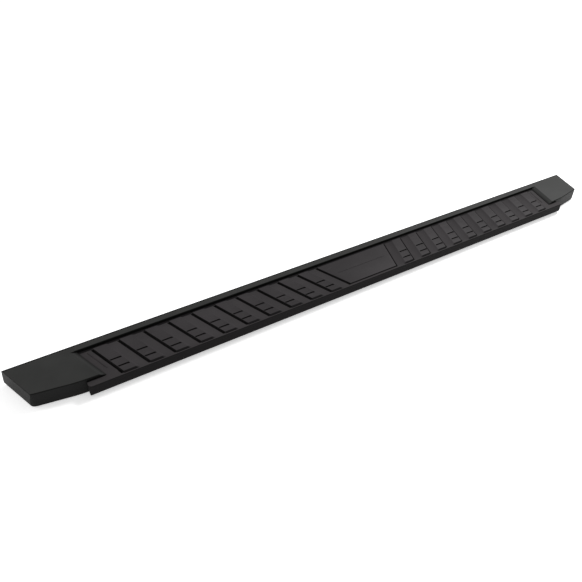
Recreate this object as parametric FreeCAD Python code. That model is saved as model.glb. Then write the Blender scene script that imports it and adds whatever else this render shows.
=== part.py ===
"""Running board for a truck or van: an aluminium extrusion under a moulded tread pad, closed by two end caps.

Millimetres. X runs along the board, +Y points towards the vehicle, +Z is up. The origin is under the middle of
the board, on the surface it rests on. The board is the same at both ends, so each end piece is made once, at the
left (-X) end, and mirrored.
"""
import FreeCAD, Part
import math
import os

V = FreeCAD.Vector

# Overall size
WIDTH = 152.4                 # lip to back face
HEIGHT = 43.0
LIP_Y = -WIDTH / 2
BACK_Y = WIDTH / 2
SKEW = math.tan(math.radians(20.0))   # cross lines run outwards by this much per millimetre towards the vehicle
FIT_GAP = 0.2                 # clearance between pieces that are put together

# Deck extrusion
DECK_LENGTH = 1640.0
DECK_TOP = 31.5
WEB = 3.0
WALL = 2.4
RAIL_Y = 52.5                 # inner wall of the rear rail
NOSE_Y = -73.0                # front wall of the nose box
NOSE_BACK_Y = -49.0
NOSE_RADIUS = 12.0
RAIL_TOP_RADIUS = 2.5         # along the pad side
RAIL_BACK_RADIUS = 3.5        # along the vehicle side
RAIL_FOOT_RADIUS = 8.0

# T-channels under the deck
CHANNELS = {"outer": -22.0, "inner": 38.0}   # centre line of each, in Y
CHANNEL_WIDTH = 32.0
SLOT_WIDTH = 11.0
SLOT_LIP = 2.6
CAVITY_WIDTH = 27.2
CAVITY_TOP = 17.0
CHANNEL_ROOF = 2.0

# Step pad
PAD_TOP = 35.0                # level of the bands between the raised blocks
BLOCK_TOP = 39.0
PANEL_TOP = 38.4
GROOVE_FLOOR = 32.7
LIP_THICKNESS = 3.2
LIP_BOTTOM = 5.5
LIP_END_X = -824.0
LIP_END_RADIUS = 10.0
LIP_TOP_RADIUS = 2.0
STRIP_Y = -58.0               # back edge of the strip that runs past the cap's tongue
STRIP_TIP_Y = -57.6
CELL_PITCH = 65.6
CELLS = 10                    # on each side of the centre panel
FIRST_GROOVE_X = -769.0       # where the outermost groove crosses y = 0
GROOVE_WIDTH = 5.0
BLOCK_FLANK = 0.8             # run of the steep side of a block
BLOCK_TOP_WIDTH = 31.5
BLOCK_SLOPE_WIDTH = 6.5
BAND_RISE = 1.1               # how far the band stands up beside its block
BLOCK_FRONT_Y = -68.6
BLOCK_BACK_Y = 43.5
BLOCK_TOE = 4.0               # run of the steep front end of a block
BAND_FRONT_Y = -72.0
NOTCH_YS = (-18.5, -48.0)     # short cross grooves in each block
NOTCH_WIDTH = 4.5
NOTCH_LENGTH = 27.0
NOTCH_FLOOR = 36.4
PAD_RIDGE_X = -781.0          # thin ridge between the cap and the first groove, where it crosses y = 0
PAD_RIDGE_YS = (-34.0, 38.0)
PANEL_LINE_Y = -9.0
PANEL_LINE_HALF = 84.0

# End caps
CAP_INNER_X = -(DECK_LENGTH / 2 + FIT_GAP)
NOSE_SKEW = math.tan(math.radians(20.5))
NOSE_TOP_X = -954.0           # where the nose's top edge would cross y = 0 if its corners were sharp
NOSE_LEAN = 7.0               # how much further out the nose stands at the bottom
CAP_BACK_RADIUS = 5.0
CAP_FRONT_RADIUS = 24.0
CAP_FRONT_BEND = (-842.0, -53.6)
CAP_FRONT_BEND_RADIUS = 300.0
CAP_FRONT_SLOPE = -0.170      # fall of the front edge from the nose to the bend
TONGUE_TIP_Y = -56.6
TONGUE_FOOT_X = -796.5        # foot of the tongue's sloping edge, where it crosses y = 0
TONGUE_SLOPE_RUN = 15.0
TONGUE_EDGE = 1.5             # upright step at the foot of the slope
TONGUE_LAP = 4.0              # how far the tongue reaches over the pad's end
CAP_TOP_RADIUS = 3.0
CAP_FOOT_RADIUS = 9.0         # under the nose
CAP_KEEL_RADIUS = 5.0         # under the front
CAP_WALL = 3.5
CAP_SKIN = 3.0
CAP_FLOOR = 4.0
CAP_RIM = 14.0                # width of the turned-in floor around the opening underneath
RIB = 2.4
RIB_XS = (-850.0, -885.0, -920.0)
RIB_Y = 14.0
RIB_BOTTOM = 8.0
SPIGOT_LENGTH = 38.0
SPIGOT_GAP = 0.3
SPIGOT_WALL = 3.0

# Screws with a hexagonal washer head
SHANK_R = 2.1
HEAD_ACROSS_FLATS = 7.0
HEAD_HEIGHT = 2.6
FLANGE_R = 4.5
FLANGE_HEIGHT = 1.0
SCREW_LENGTH = 8.0            # shank above the head
HOLE_GAP = 0.05
WEB_HOLE_R = 2.4
PILOT_DEPTH = 5.5             # blind hole above the deck web
SCREW_ROWS = {"outer": -43.0, "inner": 8.0}
SCREW_CELLS = (0, 3, 6, 9)
CAP_SCREWS = ((-811.5, SCREW_ROWS["inner"]), (-803.0, SCREW_ROWS["outer"]))

# Nut plates
STATIONS = {"left": -620.0, "centre": 0.0, "right": 620.0}
PLATE_LENGTH = 80.0
PLATE_WIDTH = 26.0
PLATE_THICKNESS = 4.0
PLATE_CORNER = 4.0
PLATE_HOLE_R = 4.5
NUT_SPACING = 40.0
NUT_ACROSS_FLATS = 13.0
NUT_HEIGHT = 6.5
NUT_BORE_R = 3.4
NUT_LEAD_IN = 0.6


def block(x0, x1, y0, y1, z0, z1):
    return Part.makeBox(x1 - x0, y1 - y0, z1 - z0, V(x0, y0, z0))


def bar(y0, y1, z0, z1, length=DECK_LENGTH):
    """A box that runs along the whole extrusion."""
    return block(-length / 2, length / 2, y0, y1, z0, z1)


def slanted(x_at_zero, y):
    """X of a slanted cross line, in the left half, at this y."""
    return x_at_zero - SKEW * y


def rounded_wire(points, radii):
    """A closed wire through coplanar points, each corner rounded to its radius."""
    corners = []
    for i, radius in enumerate(radii):
        before, here, after = points[i - 1], points[i], points[(i + 1) % len(points)]
        if not radius:
            corners.append((here, here, here))
            continue
        back = (before - here).normalize()
        on = (after - here).normalize()
        half = back.getAngle(on) / 2
        reach = radius / math.tan(half)
        middle = (back + on).normalize() * (radius / math.sin(half) - radius)
        corners.append((here + back * reach, here + middle, here + on * reach))
    edges = []
    for i, (start, middle, end) in enumerate(corners):
        if start != end:
            edges.append(Part.Arc(start, middle, end).toShape())
        edges.append(Part.LineSegment(end, corners[(i + 1) % len(corners)][0]).toShape())
    return Part.Wire(edges)


def prism(points, z0, z1, radii=None):
    """An upright prism over an outline of (x, y) points."""
    wire = rounded_wire([V(x, y, z0) for x, y in points], radii or [0] * len(points))
    return Part.Face(wire).extrude(V(0, 0, z1 - z0))


def slanted_bar(profile, y0, y1, skew=SKEW, radii=None):
    """A bar with this (x, z) profile at y = 0, run along the slant of the left half from y0 to y1."""
    corners = [V(x - skew * y0, y0, z) for x, z in profile]
    face = Part.Face(rounded_wire(corners, radii or [0] * len(corners)))
    return face.extrude(V(-skew * (y1 - y0), y1 - y0, 0))


def round_long_edges(shape, spots, radius):
    """Rounds the edges that run along X through these (y, z) spots."""
    def runs_there(edge):
        return any(
            all(abs(v.Y - y) < 0.01 and abs(v.Z - z) < 0.01 for v in edge.Vertexes) for y, z in spots
        )
    return shape.makeFillet(radius, [e for e in shape.Edges if runs_there(e)])


def hexagon(across_flats, x, y, z0, z1):
    corner = across_flats / math.sqrt(3)
    angles = [i * math.pi / 3 for i in range(6)]
    points = [(x + corner * math.cos(a), y + corner * math.sin(a)) for a in angles]
    return prism(points, z0, z1)


def upright(radius, x, y, z0, z1):
    return Part.makeCylinder(radius, z1 - z0, V(x, y, z0))


def mirrored(shape):
    return shape.mirror(V(0, 0, 0), V(1, 0, 0))


def groove_x(cell):
    """Where the groove of this cell, counted from the end, crosses y = 0."""
    return FIRST_GROOVE_X + cell * CELL_PITCH


def pad_screw_places(row):
    """The screws of one row: under the blocks of some cells, and one under the centre panel."""
    y = SCREW_ROWS[row]
    under_block = GROOVE_WIDTH + BLOCK_FLANK + BLOCK_TOP_WIDTH / 2
    left = [(slanted(groove_x(cell) + under_block, y), y) for cell in SCREW_CELLS]
    return left + [(0.0, y)] + [(-x, y) for x, _ in reversed(left)]


# Deck extrusion

def round_back(shape):
    """Rounds the top and the foot of the back face."""
    shape = round_long_edges(shape, [(BACK_Y, HEIGHT)], RAIL_BACK_RADIUS)
    return round_long_edges(shape, [(BACK_Y, 0)], RAIL_FOOT_RADIUS)


def rail_box():
    outer = round_long_edges(bar(RAIL_Y, BACK_Y, 0, HEIGHT), [(RAIL_Y, HEIGHT)], RAIL_TOP_RADIUS)
    outer = round_back(outer)
    y0, y1, z0 = RAIL_Y + WALL, BACK_Y - WALL, WALL
    hollow = round_long_edges(bar(y0, y1, z0, HEIGHT - WALL), [(y1, z0)], RAIL_FOOT_RADIUS - WALL)
    return outer, hollow


def nose_box():
    outer = round_long_edges(bar(NOSE_Y, NOSE_BACK_Y, 0, DECK_TOP), [(NOSE_Y, 0)], NOSE_RADIUS)
    y0, z0 = NOSE_Y + WALL, WALL
    hollow = bar(y0, NOSE_BACK_Y - WALL, z0, DECK_TOP - WEB)
    return outer, round_long_edges(hollow, [(y0, z0)], NOSE_RADIUS - WALL)


def channel(centre):
    """One T-channel: its outer bar, and the slot, the cavity and the closed void above it."""
    outer = bar(centre - CHANNEL_WIDTH / 2, centre + CHANNEL_WIDTH / 2, 0, DECK_TOP - WEB)
    half = CAVITY_WIDTH / 2
    slot = bar(centre - SLOT_WIDTH / 2, centre + SLOT_WIDTH / 2, 0, SLOT_LIP)
    cavity = bar(centre - half, centre + half, SLOT_LIP, CAVITY_TOP)
    void = bar(centre - half, centre + half, CAVITY_TOP + CHANNEL_ROOF, DECK_TOP - WEB)
    return outer, [slot, cavity, void]


def deck_extrusion():
    rail, rail_hollow = rail_box()
    nose, nose_hollow = nose_box()
    solids = [nose, bar(NOSE_BACK_Y, RAIL_Y, DECK_TOP - WEB, DECK_TOP)]
    hollows = [rail_hollow, nose_hollow]
    for centre in CHANNELS.values():
        outer, inside = channel(centre)
        solids.append(outer)
        hollows += inside
    places = [p for row in SCREW_ROWS for p in pad_screw_places(row)]
    places += [(side * x, y) for x, y in CAP_SCREWS for side in (-1, 1)]
    hollows += [upright(WEB_HOLE_R, x, y, DECK_TOP - WEB, DECK_TOP) for x, y in places]
    return rail.fuse(solids).removeSplitter().cut(hollows)


# Step pad

def pad_sheet():
    """The flat sheet of the left half, with the strip that runs past the cap's tongue to the end of the lip."""
    back = RAIL_Y - FIT_GAP
    end_x = TONGUE_FOOT_X - TONGUE_LAP
    outline = [
        (0, LIP_Y),
        (0, back),
        (slanted(end_x, back), back),
        (slanted(end_x, STRIP_TIP_Y), STRIP_TIP_Y),
        (LIP_END_X, STRIP_Y),
        (LIP_END_X, LIP_Y),
    ]
    return prism(outline, DECK_TOP, PAD_TOP, [0, 0, 0, 0, 0, LIP_END_RADIUS])


def pad_lip():
    """The front lip of the left half and the wall that closes the end of the nose box."""
    outline = [(0, LIP_Y), (0, STRIP_Y), (LIP_END_X, STRIP_Y), (LIP_END_X, LIP_Y)]
    block_out = prism(outline, FIT_GAP, DECK_TOP, [0, 0, 0, LIP_END_RADIUS])
    section = bar(LIP_Y, STRIP_Y, FIT_GAP, DECK_TOP + 1, -2 * LIP_END_X)
    section = round_long_edges(section, [(LIP_Y, FIT_GAP)], NOSE_RADIUS + LIP_THICKNESS)
    nose_room = block(CAP_INNER_X, 0, NOSE_Y, STRIP_Y, 0, DECK_TOP)
    below_lip = block(CAP_INNER_X, 0, LIP_Y, NOSE_Y, 0, LIP_BOTTOM)
    return block_out.common(section).cut([nose_room, below_lip])


def front_edges(half):
    """The top front edge of the left half, round its end corner."""
    def on_front(v):
        return abs(v.Z - PAD_TOP) < 0.01 and v.Y < LIP_Y + LIP_END_RADIUS + 0.01
    return [e for e in half.Edges if all(on_front(v) for v in e.Vertexes) and e.BoundBox.YMax < STRIP_Y - 1]


def tread_block(cell):
    """One raised block with its steep side towards the end and its gentle slope towards the middle."""
    start = groove_x(cell) + GROOVE_WIDTH
    flat = start + BLOCK_FLANK
    slope = flat + BLOCK_TOP_WIDTH
    band = slope + BLOCK_SLOPE_WIDTH
    foot = PAD_TOP - 0.5
    profile = [(start, foot), (flat, BLOCK_TOP), (slope, BLOCK_TOP), (band, PAD_TOP + BAND_RISE), (band, foot)]
    raised = slanted_bar(profile, BLOCK_FRONT_Y - BLOCK_TOE, BLOCK_BACK_Y)
    toe = Part.makePolygon([
        V(start - 40, BLOCK_FRONT_Y, BLOCK_TOP),
        V(start - 40, BLOCK_FRONT_Y, BLOCK_TOP + 10),
        V(start - 40, BLOCK_FRONT_Y - 2 * BLOCK_TOE, BLOCK_TOP + 10),
        V(start - 40, BLOCK_FRONT_Y - 2 * BLOCK_TOE, PAD_TOP - (BLOCK_TOP - PAD_TOP)),
        V(start - 40, BLOCK_FRONT_Y, BLOCK_TOP),
    ])
    cuts = [Part.Face(toe).extrude(V(160, 0, 0))]
    for y in NOTCH_YS:
        x, half = slanted(flat + 1.5, y), NOTCH_WIDTH / 2
        cuts.append(block(x, x + NOTCH_LENGTH, y - half, y + half, NOTCH_FLOOR, BLOCK_TOP + 1))
    return raised.cut(cuts)


def tread_band(cell):
    """The gently falling band between a block and the next groove."""
    start = groove_x(cell) + GROOVE_WIDTH + BLOCK_FLANK + BLOCK_TOP_WIDTH + BLOCK_SLOPE_WIDTH
    end = groove_x(cell + 1)
    foot = PAD_TOP - 0.5
    profile = [(start, foot), (start, PAD_TOP + BAND_RISE), (end, PAD_TOP), (end, foot)]
    return slanted_bar(profile, BAND_FRONT_Y, BLOCK_BACK_Y)


def groove(cell):
    x, end = groove_x(cell), groove_x(cell) + GROOVE_WIDTH
    profile = [(x, GROOVE_FLOOR), (x, BLOCK_TOP), (end, BLOCK_TOP), (end, GROOVE_FLOOR)]
    return slanted_bar(profile, BLOCK_FRONT_Y, BLOCK_BACK_Y)


def centre_panel():
    """The plain raised panel between the two halves of the tread, with a thin line across it."""
    edge = groove_x(CELLS) + GROOVE_WIDTH
    front = slanted(edge, BLOCK_FRONT_Y)
    back = slanted(edge, BLOCK_BACK_Y)
    outline = [(front, BLOCK_FRONT_Y), (-front, BLOCK_FRONT_Y), (-back, BLOCK_BACK_Y), (back, BLOCK_BACK_Y)]
    panel = prism(outline, PAD_TOP - 0.5, PANEL_TOP)
    half = PANEL_LINE_HALF
    return panel.fuse(block(-half, half, PANEL_LINE_Y - 0.8, PANEL_LINE_Y + 0.8, PANEL_TOP - 1, PANEL_TOP + 0.5))


def pad_ridge():
    x = PAD_RIDGE_X
    profile = [(x, PAD_TOP - 0.5), (x, PAD_TOP + 0.8), (x + 1.6, PAD_TOP + 0.8), (x + 1.6, PAD_TOP - 0.5)]
    return slanted_bar(profile, *PAD_RIDGE_YS)


def pilot_hole(x, y):
    return upright(SHANK_R + HOLE_GAP, x, y, DECK_TOP - 1, DECK_TOP + PILOT_DEPTH)


def step_pad():
    """The whole moulded pad, lip included."""
    half = pad_sheet().fuse(pad_lip()).removeSplitter()
    half = half.makeFillet(LIP_TOP_RADIUS, front_edges(half)).fuse(pad_ridge())
    half = half.cut([groove(cell) for cell in range(CELLS + 1)])
    cells = range(CELLS)
    raised = [tread_block(cell) for cell in cells] + [tread_band(cell) for cell in cells]
    half = half.fuse(raised)
    whole = half.fuse([mirrored(half), centre_panel()]).removeSplitter()
    places = [p for row in SCREW_ROWS for p in pad_screw_places(row)]
    return whole.cut([pilot_hole(x, y) for x, y in places])


# End caps

def cap_outline():
    """The left cap seen from above: back edge, slanted nose, front edge, tongue tip, sloping tongue foot."""
    nose_x = NOSE_TOP_X - NOSE_LEAN
    bend_x, bend_y = CAP_FRONT_BEND
    corner_y = (bend_y + CAP_FRONT_SLOPE * (nose_x - bend_x)) / (1 + CAP_FRONT_SLOPE * NOSE_SKEW)
    tongue_back = RAIL_Y - FIT_GAP
    points = [
        (CAP_INNER_X, tongue_back),
        (CAP_INNER_X, BACK_Y),
        (nose_x - NOSE_SKEW * BACK_Y, BACK_Y),
        (nose_x - NOSE_SKEW * corner_y, corner_y),
        CAP_FRONT_BEND,
        (slanted(TONGUE_FOOT_X, TONGUE_TIP_Y), TONGUE_TIP_Y),
        (slanted(TONGUE_FOOT_X, tongue_back), tongue_back),
    ]
    return points, [0, 0, CAP_BACK_RADIUS, CAP_FRONT_RADIUS, CAP_FRONT_BEND_RADIUS, 0, 0]


def cap_prism(inset, z0, z1):
    points, radii = cap_outline()
    wire = rounded_wire([V(x, y, z0) for x, y in points], radii)
    if inset:
        wire = wire.makeOffset2D(-inset)
    return Part.Face(wire).extrude(V(0, 0, z1 - z0))


def behind_nose(inset, z0, z1, foot_radius, top_radius):
    """The room behind the leaning nose, rounded under it, this far in from its face."""
    def face_x(z):
        return NOSE_TOP_X - NOSE_LEAN * (1 - z / HEIGHT) + inset
    profile = [(face_x(z0), z0), (face_x(z1), z1), (0, z1), (0, z0)]
    return slanted_bar(profile, 2 * LIP_Y, 2 * BACK_Y, NOSE_SKEW, [foot_radius, top_radius, 0, 0])


def cap_top_edges(hull):
    """The top edges round the back, the nose and the front, leaving those that face the deck."""
    def outside(edge):
        box = edge.BoundBox
        along_back = box.XMax < CAP_INNER_X + 0.01 and box.XLength > 1
        return box.ZMin > HEIGHT - 0.01 and (along_back or box.YMax < CAP_FRONT_BEND[1] + 10)
    return [e for e in hull.Edges if outside(e)]


def cap_keel_edges(hull):
    """The bottom edges along the front, up to the end of the deck."""
    def along_front(edge):
        box = edge.BoundBox
        return box.ZMax < 0.01 and box.YMax < CAP_FRONT_BEND[1] + 35 and box.XMin < CAP_INNER_X
    return [e for e in hull.Edges if along_front(e)]


def cap_outside():
    """The outside of the left cap as a solid, with the room of the deck, the pad and the rail taken out."""
    hull = cap_prism(0, 0, HEIGHT)
    hull = hull.makeFillet(CAP_TOP_RADIUS, cap_top_edges(hull))
    hull = hull.makeFillet(CAP_KEEL_RADIUS, cap_keel_edges(hull))
    hull = hull.common(behind_nose(0, 0, HEIGHT, CAP_FOOT_RADIUS, CAP_TOP_RADIUS))
    hull = hull.common(round_back(block(2 * CAP_INNER_X, 0, 2 * LIP_Y, BACK_Y, 0, HEIGHT)))
    deck_room = block(CAP_INNER_X, 0, 2 * LIP_Y, 2 * BACK_Y, -1, DECK_TOP)
    tongue_back = RAIL_Y - FIT_GAP
    lap_x = TONGUE_FOOT_X - TONGUE_LAP - 2 * FIT_GAP
    low, high = DECK_TOP - 1, PAD_TOP + FIT_GAP
    pad_room = slanted_bar([(lap_x, low), (lap_x, high), (0, high), (0, low)], 2 * LIP_Y, tongue_back)
    foot, step, top = TONGUE_FOOT_X, PAD_TOP + TONGUE_EDGE, HEIGHT + 5
    reach = TONGUE_SLOPE_RUN * (top - step) / (HEIGHT - step)
    slope = slanted_bar([(foot, step), (foot - reach, top), (0, top), (0, step)], 2 * LIP_Y, tongue_back)
    return hull.cut([deck_room, pad_room, slope])


def cap_hollow():
    """The room inside the cap and the opening underneath it."""
    roof = HEIGHT - CAP_SKIN
    room = cap_prism(CAP_WALL, CAP_FLOOR, roof)
    room = room.common(behind_nose(CAP_WALL, CAP_FLOOR, roof, CAP_FOOT_RADIUS - CAP_WALL, 0))
    room = room.common(block(2 * CAP_INNER_X, CAP_INNER_X - CAP_WALL, 2 * LIP_Y, 2 * BACK_Y, 0, HEIGHT))
    opening = cap_prism(CAP_WALL + CAP_RIM, -1, CAP_FLOOR + 1)
    side = CAP_INNER_X - CAP_WALL - CAP_RIM
    return room, opening.common(block(2 * CAP_INNER_X, side, 2 * LIP_Y, 2 * BACK_Y, -1, HEIGHT))


def cap_ribs():
    """Stiffening ribs under the cap's roof: three across and one along."""
    half, roof = RIB / 2, HEIGHT - CAP_SKIN + 1
    across = [block(x - half, x + half, LIP_Y, BACK_Y, RIB_BOTTOM, roof) for x in RIB_XS]
    return across + [block(2 * CAP_INNER_X, CAP_INNER_X - 1, RIB_Y - half, RIB_Y + half, RIB_BOTTOM, roof)]


def spigot(y0, y1, z0, z1, floor):
    """A plug that reaches into a hollow of the deck, cored out down to this level."""
    x0, x1 = CAP_INNER_X - CAP_WALL + 1, CAP_INNER_X + SPIGOT_LENGTH
    y0, y1, z0, z1 = y0 + SPIGOT_GAP, y1 - SPIGOT_GAP, z0 + SPIGOT_GAP, z1 - SPIGOT_GAP
    core = block(x0 - 5, x1 + 1, y0 + SPIGOT_WALL, y1 - SPIGOT_WALL, floor, z1 - SPIGOT_WALL)
    return block(x0, x1, y0, y1, z0, z1), core


def cap_spigots():
    """Plugs for the rail box and for the closed void over each T-channel."""
    y1, z0 = BACK_Y - WALL, WALL
    rail, rail_core = spigot(RAIL_Y + WALL, y1, z0, HEIGHT - WALL, z0 + SPIGOT_WALL)
    rail = round_long_edges(rail, [(y1 - SPIGOT_GAP, z0 + SPIGOT_GAP)], RAIL_FOOT_RADIUS - WALL)
    plugs, cores = [rail], [rail_core]
    half, low = CAVITY_WIDTH / 2, CAVITY_TOP + CHANNEL_ROOF
    for centre in CHANNELS.values():
        plug, core = spigot(centre - half, centre + half, low, DECK_TOP - WEB, low - 1)
        plugs.append(plug)
        cores.append(core)
    return plugs, cores


def end_cap_left():
    outside = cap_outside()
    ribs = [rib.common(outside) for rib in cap_ribs()]
    plugs, cores = cap_spigots()
    cap = outside.cut(cap_hollow()).fuse(ribs + plugs)
    return cap.cut(cores + [pilot_hole(x, y) for x, y in CAP_SCREWS]).removeSplitter()


# Screws

def screw(x, y):
    """A screw driven upwards: washer head under the deck web, pointed shank above it."""
    seat = DECK_TOP - WEB
    point = seat + SCREW_LENGTH - SHANK_R
    head = hexagon(HEAD_ACROSS_FLATS, x, y, seat - HEAD_HEIGHT, seat)
    flange = upright(FLANGE_R, x, y, seat - FLANGE_HEIGHT, seat)
    shank = upright(SHANK_R, x, y, seat, point)
    tip = Part.makeCone(SHANK_R, SHANK_R / 3, SHANK_R, V(x, y, point))
    return head.fuse([flange, shank, tip]).removeSplitter()


def screws(places):
    return Part.makeCompound([screw(x, y).Solids[0] for x, y in places])


# Nut plates and the nuts welded to them

def nut_places(station):
    return [station - NUT_SPACING / 2, station + NUT_SPACING / 2]


def nut_plate(station, centre):
    half_x, half_y = PLATE_LENGTH / 2, PLATE_WIDTH / 2
    outline = [
        (station - half_x, centre - half_y),
        (station - half_x, centre + half_y),
        (station + half_x, centre + half_y),
        (station + half_x, centre - half_y),
    ]
    top = SLOT_LIP + PLATE_THICKNESS
    plate = prism(outline, SLOT_LIP, top, [PLATE_CORNER] * 4)
    return plate.cut([upright(PLATE_HOLE_R, x, centre, 0, top + 1) for x in nut_places(station)])


def weld_nut(x, centre):
    low = SLOT_LIP + PLATE_THICKNESS
    high = low + NUT_HEIGHT
    nut = hexagon(NUT_ACROSS_FLATS, x, centre, low, high)
    bore = upright(NUT_BORE_R, x, centre, low - 1, high + 1)
    wide = NUT_BORE_R + NUT_LEAD_IN
    lead_in = Part.makeCone(wide, NUT_BORE_R, NUT_LEAD_IN, V(x, centre, low))
    return nut.cut([bore, lead_in])


def weld_nuts(station, centre):
    return Part.makeCompound([weld_nut(x, centre).Solids[0] for x in nut_places(station)])


# The whole board

def all_pieces():
    cap = end_cap_left()
    pieces = {
        "deck_extrusion": deck_extrusion(),
        "step_pad": step_pad(),
        "end_cap_left": cap,
        "end_cap_right": mirrored(cap),
        "cap_screws_left": screws(CAP_SCREWS),
        "cap_screws_right": screws([(-x, y) for x, y in CAP_SCREWS]),
    }
    for row in SCREW_ROWS:
        pieces["pad_screws_" + row + "_row"] = screws(pad_screw_places(row))
    for row, centre in CHANNELS.items():
        for name, station in STATIONS.items():
            pieces["nut_plate_" + row + "_" + name] = nut_plate(station, centre)
            pieces["weld_nuts_" + row + "_" + name] = weld_nuts(station, centre)
    return pieces


def main():
    os.makedirs("parts", exist_ok=True)
    for node, shape in all_pieces().items():
        solids = shape.Solids
        if not all(solid.isValid() for solid in solids):
            raise ValueError(node + " is not a valid solid")
        whole = solids[0] if len(solids) == 1 else Part.makeCompound(solids)
        whole.exportStep("parts/" + node + ".step")
        print(node, len(solids), "solid(s)", round(whole.Volume, 1), "mm3")


if __name__ == "__main__":
    main()
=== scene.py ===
"""Running board: builds the tread pad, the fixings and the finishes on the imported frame.

The file is laid out as an add-on. Lengths are in metres in the frame's own axes:
X along the board, +Y towards the vehicle, +Z up.
"""

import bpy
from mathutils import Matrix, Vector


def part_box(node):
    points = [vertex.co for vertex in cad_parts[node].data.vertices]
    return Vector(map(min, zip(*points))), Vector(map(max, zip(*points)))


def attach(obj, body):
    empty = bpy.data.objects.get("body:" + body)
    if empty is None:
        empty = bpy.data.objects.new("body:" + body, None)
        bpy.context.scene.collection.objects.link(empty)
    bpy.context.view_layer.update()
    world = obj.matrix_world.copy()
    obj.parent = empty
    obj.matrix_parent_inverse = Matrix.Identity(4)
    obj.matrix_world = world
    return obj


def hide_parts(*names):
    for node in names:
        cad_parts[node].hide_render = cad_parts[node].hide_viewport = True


bl_info = {
    "name": "Running Board",
    "version": (1, 0, 0),
    "blender": (4, 5, 0),
    "location": "View3D > Sidebar > Running Board",
    "description": "Models a running board's tread, fixings and finishes on its packed frame",
    "category": "Object",
}

import math
import bmesh
import bpy
from bpy.props import FloatProperty, FloatVectorProperty, IntProperty, PointerProperty
from mathutils import Vector

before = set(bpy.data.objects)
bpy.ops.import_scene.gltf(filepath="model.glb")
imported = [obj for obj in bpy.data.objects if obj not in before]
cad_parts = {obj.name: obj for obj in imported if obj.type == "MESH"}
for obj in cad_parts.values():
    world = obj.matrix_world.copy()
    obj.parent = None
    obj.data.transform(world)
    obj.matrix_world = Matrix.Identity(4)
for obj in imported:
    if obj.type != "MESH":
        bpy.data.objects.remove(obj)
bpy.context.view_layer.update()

MM = 0.001
TOUCH = 0.02 * MM                       # places closer than this count as one
BOARD = "board"
SKEW = math.tan(math.radians(20.0))
PAD_LOW, PAD_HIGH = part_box("step_pad")
DECK_LOW, DECK_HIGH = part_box("deck_extrusion")
PLATES = sorted(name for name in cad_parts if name.startswith("nut_plate"))
SCREW_NODES = sorted(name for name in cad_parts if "screws" in name)

# The pad's sheet; where there are two of a thing, the left one is given and the right one mirrors it
SHEET_END = -800.5 * MM                 # where the sheet's slanted end crosses the middle line
SHEET_UNDER = DECK_HIGH.z - 11.5 * MM
STRIP_BACK = -57.8 * MM                 # back of the strip that runs on in front of the caps
STRIP_TIP = PAD_LOW.x + 1.2 * MM
STRIP_ROUND = 10 * MM
FRONT_ROUND = 2 * MM
FRONT_ROUND_BACK = -58 * MM             # sharp edges of the sheet's top are rounded in front of this line
RIDGE = (-781 * MM, -779.4 * MM)        # the sides of the thin ridge beside the cap, on the middle line
RIDGE_ENDS = (-34 * MM, 38 * MM)
RIDGE_HEIGHT = 0.8 * MM

# The lip in front of the deck
LIP_RADIUS = 15.2 * MM
LIP_CENTRE_Z = 15.4 * MM
LIP_LEVELS = (15.4, 12, 9.5, 7.5, 6.2, 3, 0.8, 0.2)     # heights in mm, from the top down
LIP_FOOT = 6 * MM                       # only the walls at the lip's ends go lower
LIP_END_GAP = 0.2 * MM

# The tread cells and the centre panel
CELL_SINK = 0.5 * MM                    # how far a cell reaches into the sheet
NOTCH_SPAN = (1.5 * MM, 28.5 * MM)      # from the start of a block's flat top
NOTCH_LINES = (-48 * MM, -18.5 * MM)
NOTCH_HALF = 2.7 * MM
NOTCH_DEPTH = 3.4 * MM
PANEL_DROP = 0.6 * MM                   # the panel's top is this far under the tops of the blocks
PANEL_DEPTH = 3.9 * MM
PANEL_ROUND = 0.8 * MM
LINE_Y, LINE_HALF, LINE_END, LINE_HEIGHT = -9 * MM, 0.8 * MM, 84 * MM, 0.5 * MM

# The fixings
HEAD_HEIGHT, FLANGE, SCREW_POINT = 2.6 * MM, 1 * MM, 1.6 * MM
THREAD_TURNS = 6
THREAD_ROOT = 0.8                       # of the shank's radius
THREAD_STEPS = ((1.25, 0.35 * MM), (THREAD_ROOT, 0.65 * MM))    # growth and rise, out to a crest and back in
NUT_RINGS, NUT_RING_PITCH, NUT_RING_DEPTH = 5, 1.1 * MM, 0.35 * MM

# Colour factors that several finishes share
# painted shade: faces that don't look up are darkened by this factor
SIDE_PAINTED_SHADE = 0.22                       # faces that don't look up
# painted shade: the dark line along the edge next to the vehicle
BACK_PAINTED_SHADE = 0.15                       # the edge next to the vehicle
CLOUD_SPAN = (0.3, 0.7)                 # the part of a noise's range that a slow change of colour takes up

FLOOR_SIZE, FLOOR_DROP = 60, 1 * MM


# Sizes and colours that a user would change

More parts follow.
